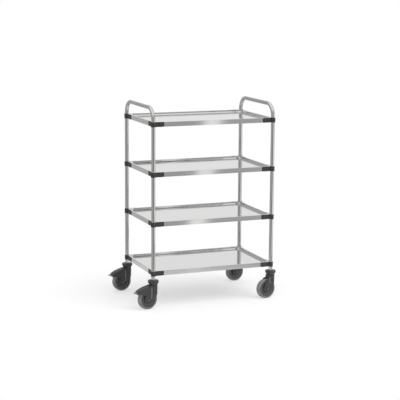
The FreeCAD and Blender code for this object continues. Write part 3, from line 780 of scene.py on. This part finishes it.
@dataclass(frozen=True)
class Camera:
    """The camera at the photograph's viewing angle.

    Attributes:
        aim: The point that it looks at.
        distance: How far it stands from that point.
        azimuth: Its heading, counterclockwise from +Y as seen from above.
        pitch: How far it looks down.
        roll: How far it is turned about its own view, counterclockwise as it looks.
        lens_mm: Its focal length.
        sensor_mm: Width of its sensor.
        reach: How far it sees, as a multiple of its distance.
    """

    aim: Triple = (0.0572, -0.0066, 0.6184)
    distance: float = 8.352
    azimuth: float = -21.793
    pitch: float = 10.151
    roll: float = 0.405
    lens_mm: float = 116.78
    sensor_mm: float = 36.0
    reach: float = 4.0

    def build(self) -> None:
        """Set up the camera and make it the scene's own."""
        azimuth, pitch, roll = (math.radians(angle) for angle in (self.azimuth, self.pitch, self.roll))
        ahead = Vector((-math.sin(azimuth) * math.cos(pitch), math.cos(azimuth) * math.cos(pitch),
                        -math.sin(pitch)))
        level = Vector((math.cos(azimuth), math.sin(azimuth), 0.0))
        above = level.cross(ahead)
        right = level * math.cos(roll) + above * math.sin(roll)
        up = above * math.cos(roll) - level * math.sin(roll)
        turn = Matrix((right, up, -ahead)).transposed().to_4x4()
        bpy.ops.object.camera_add()
        camera = bpy.context.active_object
        camera.data.lens = self.lens_mm
        camera.data.sensor_width = self.sensor_mm
        camera.data.clip_end = self.distance * self.reach
        camera.matrix_world = Matrix.Translation(Vector(self.aim) - ahead * self.distance) @ turn
        bpy.context.scene.camera = camera


@dataclass
class Studio:
    """The plain studio round the cart: floor, room, lamps and camera."""

    floor: Floor = Floor()
    room: Room = Room()
    suns: tuple[Sun, ...] = (
        Sun("key_light", strength=1.0, spread=50.0, heading=(-0.45, 0.35, -0.8)),
        Sun("fill_light", strength=0.5, spread=80.0, heading=(0.4, 0.5, -0.7)))
    panels: tuple[Panel, ...] = (
        Panel("strip_light", power=0.4, size=(0.13, 1.5), place=(0.7, -2.0, 0.55), lean=8.0),
        Panel("right_panel", power=5.0, size=(0.7, 1.8), place=(1.7, -1.5, 0.8), lean=0.0))
    camera: Camera = Camera()

    def build(self) -> None:
        """Build all of it in order."""
        for piece in (self.floor, self.room, *self.suns, *self.panels, self.camera):
            piece.build()
        bpy.context.scene.view_settings.view_transform = "Standard"
        log.info("studio")


@dataclass
class TrayScrews:
    """Pan-head screws with a cross recess, driven up into the connectors' tongues under the trays.

    Attributes:
        head_radius: Radius of the head.
        head_height: Height of the head.
        head_round: Radius of the rounding of its rim.
        round_steps: Steps of that rounding.
        head_sides: How many sides the head and the shank have.
        shank_radius: Radius of the shank.
        shank_length: Length of the shank without its tip.
        tip_length: Length of the tip.
        tip_share: Share of the shank's radius that is left at the tip's end.
        recess_length: Length of each bar of the cross.
        recess_width: Its width.
        recess_depth: Its depth.
        from_post: How far a screw stands from its post's middle along X and Y.
        smooth_angle: Angle up to which an edge is shaded smooth.
    """

    head_radius: float = 0.0035
    head_height: float = 0.002
    head_round: float = 0.0012
    round_steps: int = 5
    head_sides: int = 32
    shank_radius: float = 0.0016
    shank_length: float = 0.0106
    tip_length: float = 0.0014
    tip_share: float = 0.35
    recess_length: float = 0.0042
    recess_width: float = 0.0009
    recess_depth: float = 0.0012
    from_post: tuple[float, float] = (0.048, 0.005)
    smooth_angle: float = 35.0

    def build(self, finish: bpy.types.Material) -> None:
        """Model one screw and set a copy of it at each place.

        Args:
            finish: The screws' material.
        """
        screw = self.screw()
        screw.data.materials.append(finish)
        copies = []
        for place in self.places():
            copy = screw.copy()
            copy.data = screw.data.copy()
            copy.data.transform(Matrix.Translation(place))
            bpy.context.collection.objects.link(copy)
            copies.append(copy)
        bpy.data.objects.remove(screw)
        select_only(*copies)
        bpy.ops.object.join()
        joined = bpy.context.active_object
        joined.name = "tray_screw_set"
        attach(joined, "frame")
        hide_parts("tray_screws")
        log.info("tray screws")

    def places(self) -> list[Vector]:
        """Work out the screws' places from the trays and the posts.

        Returns:
            The middle of the outer face of each screw's head.
        """
        spots = []
        for level in Level:
            underside = Vector((0.0, 0.0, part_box(f"shelf_tray_{level.value}")[0][2] - self.head_height))
            for corner in Corner:
                inward = corner.inward * Vector((*self.from_post, 0.0))
                spots.append(post_foot(corner) + inward + underside)
        return spots

    def screw(self) -> bpy.types.Object:
        """Model a screw with the outer face of its head at the origin and its shank upwards.

        Returns:
            The screw.
        """
        bpy.ops.object.select_all(action="DESELECT")
        bpy.ops.mesh.primitive_cylinder_add(vertices=self.head_sides, radius=self.head_radius,
                                            depth=self.head_height, location=(0.0, 0.0, self.head_height / 2))
        screw = bpy.context.active_object
        screw.name = "tray_screw"
        bpy.ops.object.transform_apply(location=True, rotation=False, scale=False)
        edit_faces(screw, lambda face: face.normal.z > LEVEL_FACE)
        bpy.ops.mesh.inset(thickness=self.head_radius - self.shank_radius)
        for length in (self.shank_length, self.tip_length):
            bpy.ops.mesh.extrude_region_move(TRANSFORM_OT_translate={"value": (0.0, 0.0, length)})
        bpy.ops.transform.resize(value=(self.tip_share, self.tip_share, 1.0))
        bpy.ops.object.mode_set(mode="OBJECT")
        edit_faces(screw, lambda face: face.normal.z < -LEVEL_FACE)
        bpy.ops.mesh.bevel(offset=self.head_round, segments=self.round_steps)
        bpy.ops.object.mode_set(mode="OBJECT")
        for size in ((self.recess_length, self.recess_width), (self.recess_width, self.recess_length)):
            self.recess(screw, size)
        select_only(screw)
        bpy.ops.object.shade_smooth_by_angle(angle=math.radians(self.smooth_angle))
        return screw

    def recess(self, screw: bpy.types.Object, size: tuple[float, float]) -> None:
        """Cut one bar of the cross recess.

        Args:
            screw: The screw.
            size: The bar's length along X and Y.
        """
        bpy.ops.object.select_all(action="DESELECT")
        bpy.ops.mesh.primitive_cube_add(size=1.0, location=(0.0, 0.0, 0.0))
        bar = bpy.context.active_object
        bar.scale = (*size, 2 * self.recess_depth)
        cut = screw.modifiers.new("recess", "BOOLEAN")
        cut.operation = "DIFFERENCE"
        cut.object = bar
        bpy.context.view_layer.objects.active = screw
        bpy.ops.object.modifier_apply(modifier=cut.name)
        bpy.data.objects.remove(bar)


@dataclass
class Cart:
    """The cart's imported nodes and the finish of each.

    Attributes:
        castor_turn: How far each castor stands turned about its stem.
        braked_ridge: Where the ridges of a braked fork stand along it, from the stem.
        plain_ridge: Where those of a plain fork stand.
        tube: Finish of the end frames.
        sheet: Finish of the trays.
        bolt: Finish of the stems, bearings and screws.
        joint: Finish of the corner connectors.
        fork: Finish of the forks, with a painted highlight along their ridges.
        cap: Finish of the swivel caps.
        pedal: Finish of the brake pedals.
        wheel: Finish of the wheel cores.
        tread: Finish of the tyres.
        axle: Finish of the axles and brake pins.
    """

    castor_turn: float = 8.0
    braked_ridge: float = -0.023
    plain_ridge: float = -0.0185
    tube: BrushedSteel = BrushedSteel("polished_tube", (0.59, 0.577, 0.567), Grain.UPRIGHT, 0.11, 0.04)
    sheet: BrushedSteel = BrushedSteel("brushed_sheet", (0.74, 0.742, 0.735), Grain.LONG_WAY, 0.11, 0.04)
    bolt: BrushedSteel = BrushedSteel("zinc_plate", (0.55, 0.55, 0.54), Grain.EVEN, 0.35, 0.12)
    joint: Moulded = Moulded("connector_plastic", (0.0255, 0.0255, 0.0255), 0.5)
    fork: ForkPlastic = ForkPlastic("fork_plastic", (0.0265, 0.0265, 0.029), 0.42)
    cap: Moulded = Moulded("cap_plastic", (0.028, 0.028, 0.0305), 0.42)
    pedal: Moulded = Moulded("pedal_plastic", (0.17, 0.17, 0.175), 0.45)
    wheel: Moulded = Moulded("wheel_plastic", (0.068, 0.068, 0.071), 0.45)
    tread: TreadRubber = TreadRubber("tread_rubber", (0.157, 0.159, 0.162), 0.75)
    axle: Moulded = Moulded("blackened_steel", (0.06, 0.06, 0.062), 0.4)

    def build(self) -> None:
        """Dress every node and model the screws."""
        self.shelves()
        bolt, axle = self.bolt.material(), self.axle.material()
        finishes = {"castor_stem": bolt, "swivel_cap": self.cap.material(), "swivel_bearings": bolt,
                    "axle": axle, "wheel_core": self.wheel.material(), "wheel_bearings": bolt}
        brake = {"brake_pin": axle, "brake_pedal": self.pedal.material()}
        for corner in Corner:
            self.castor(corner, finishes | brake if corner.braked else finishes)
        dress("tray_screws", bolt)
        TrayScrews().build(bolt)

    def shelves(self) -> None:
        """Dress the end frames, the trays and the connectors."""
        tube, sheet, joint = self.tube.material(), self.sheet.material(), self.joint.material()
        for side in ("left", "right"):
            dress(f"end_frame_{side}", tube)
        for level in Level:
            dress(f"shelf_tray_{level.value}", sheet)
            for corner in Corner:
                dress(f"corner_{level.value}_{corner.value}", joint)
        log.info("end frames, trays and connectors")

    def castor(self, corner: Corner, finishes: dict[str, bpy.types.Material]) -> None:
        """Dress a castor.

        Args:
            corner: Where it stands.
            finishes: Finish of each piece other than the fork and the tyre, which have a pattern at a place.
        """
        for piece, finish in finishes.items():
            dress(f"{piece}_{corner.value}", finish)
        fork = replace(self.fork, name=f"{self.fork.name}_{corner.value}", stem=tuple(post_foot(corner)),
                       turn=self.castor_turn, ridge=self.braked_ridge if corner.braked else self.plain_ridge)
        dress(f"castor_fork_{corner.value}", fork.material())
        tyre = f"tyre_{corner.value}"
        tread = replace(self.tread, name=f"{self.tread.name}_{corner.value}", hub=tuple(middle(tyre)),
                        turn=self.castor_turn)
        dress(tyre, tread.material())
        log.info("castor %s", corner.value)


def main() -> None:
    """Build the scene."""
    logging.basicConfig(level=logging.INFO)
    Studio().build()
    Cart().build()


if __name__ == "__main__":
    main()
